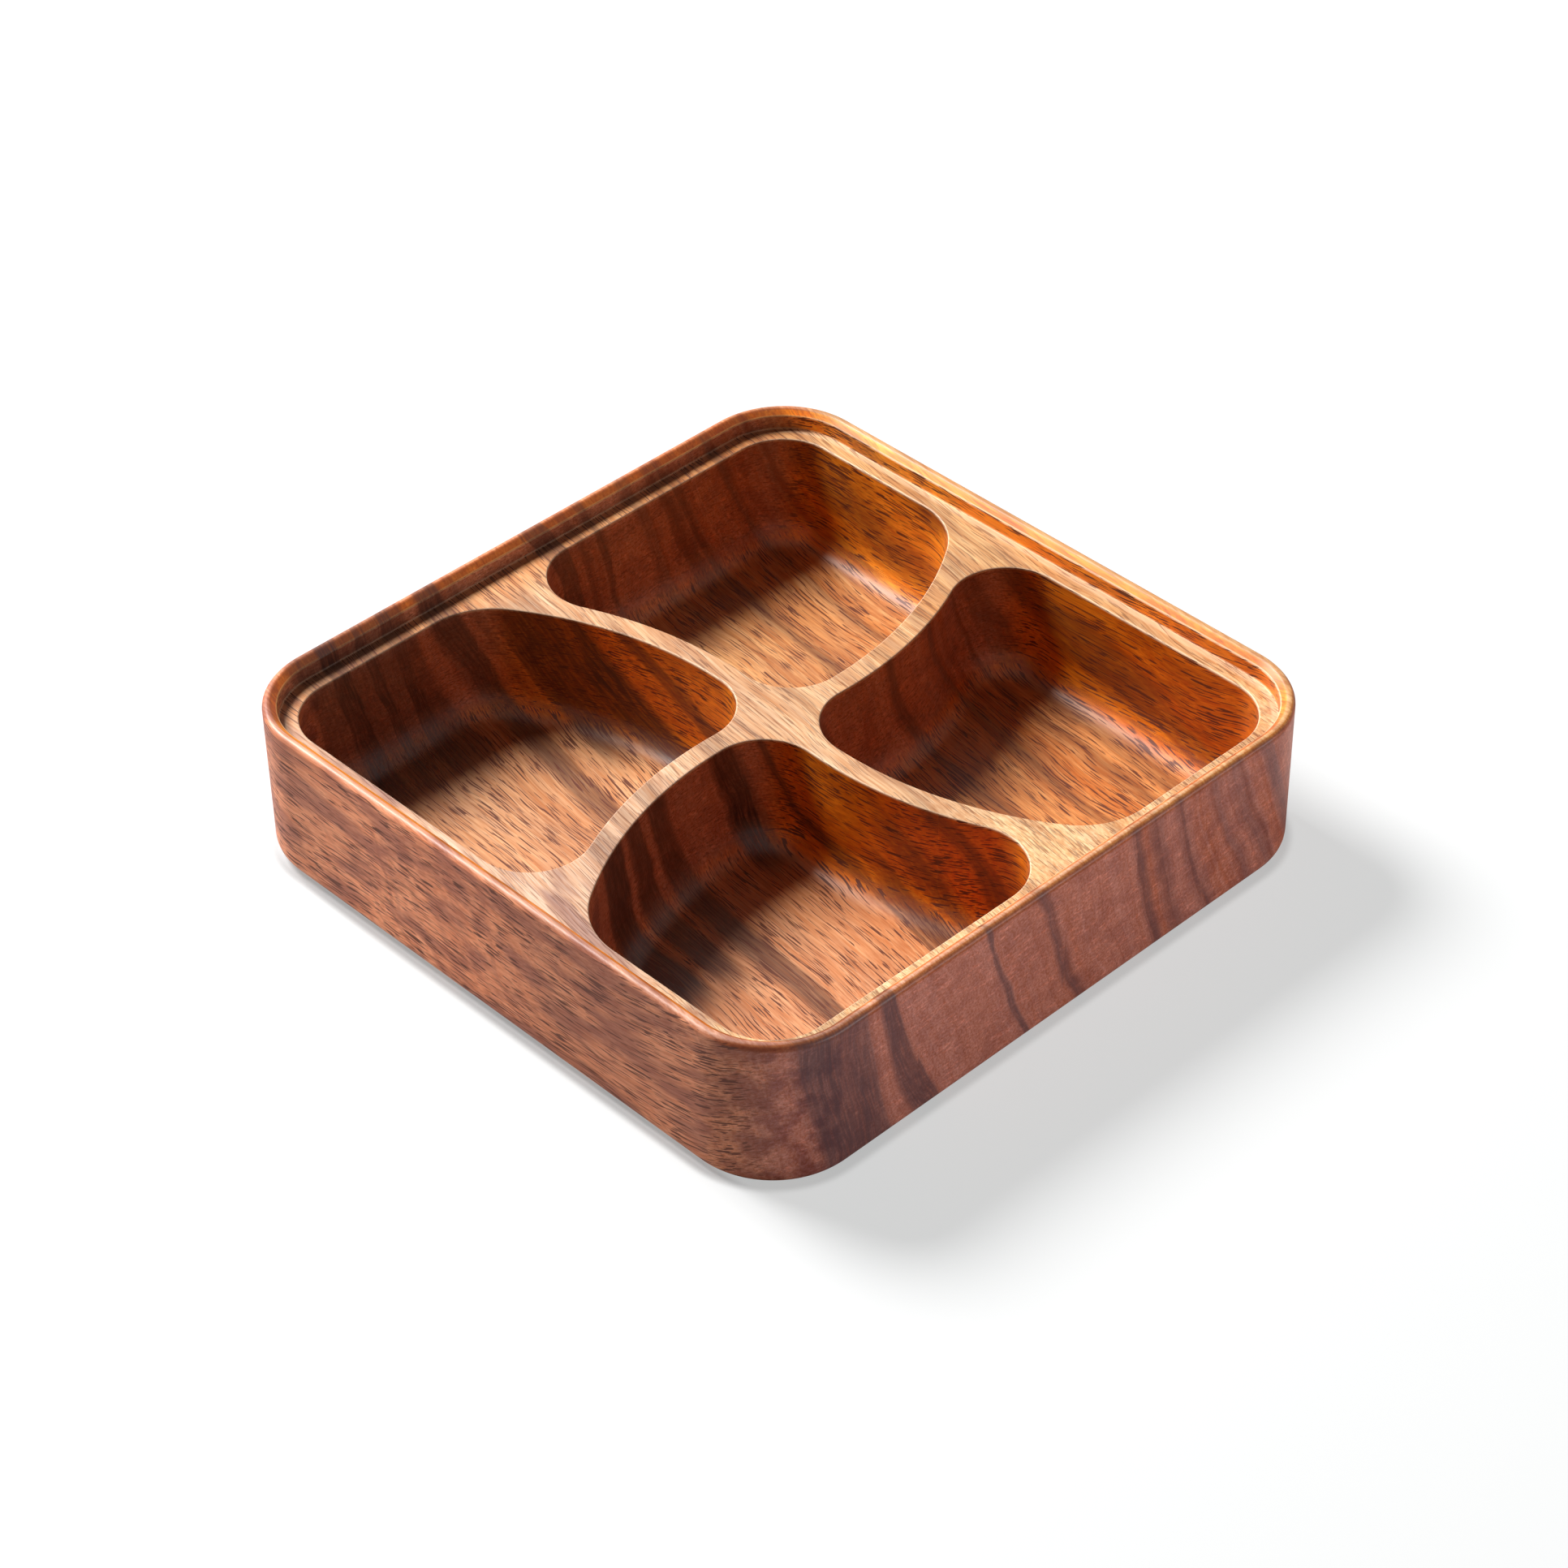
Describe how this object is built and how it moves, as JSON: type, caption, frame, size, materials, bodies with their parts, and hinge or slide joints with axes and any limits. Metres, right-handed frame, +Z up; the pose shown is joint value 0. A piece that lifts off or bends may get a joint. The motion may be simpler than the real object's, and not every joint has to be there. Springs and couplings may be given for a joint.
{
  "type": "compartment serving tray",
  "caption": "Square hardwood serving tray with round corners, deep compartments between curved pinwheel dividers, and a rebated rim that seats a lid.",
  "frame": {"origin": "middle of the underside, on the surface that the tray stands on", "axes": "+Z up out of the compartments, +X along the grain, -Y the front edge stave"},
  "size_m": [0.25, 0.25, 0.056],
  "materials": {
    "lacquered_hardwood": "satin clear lacquer over streaked honey to red-brown grain"
  },
  "bodies": {
    "root": {"front_edge_stave": "lacquered_hardwood", "front_outer_stave": "lacquered_hardwood", "front_inner_stave": "lacquered_hardwood", "front_middle_stave": "lacquered_hardwood", "back_middle_stave": "lacquered_hardwood", "back_inner_stave": "lacquered_hardwood", "back_outer_stave": "lacquered_hardwood", "back_edge_stave": "lacquered_hardwood"}
  },
  "joints": []
}
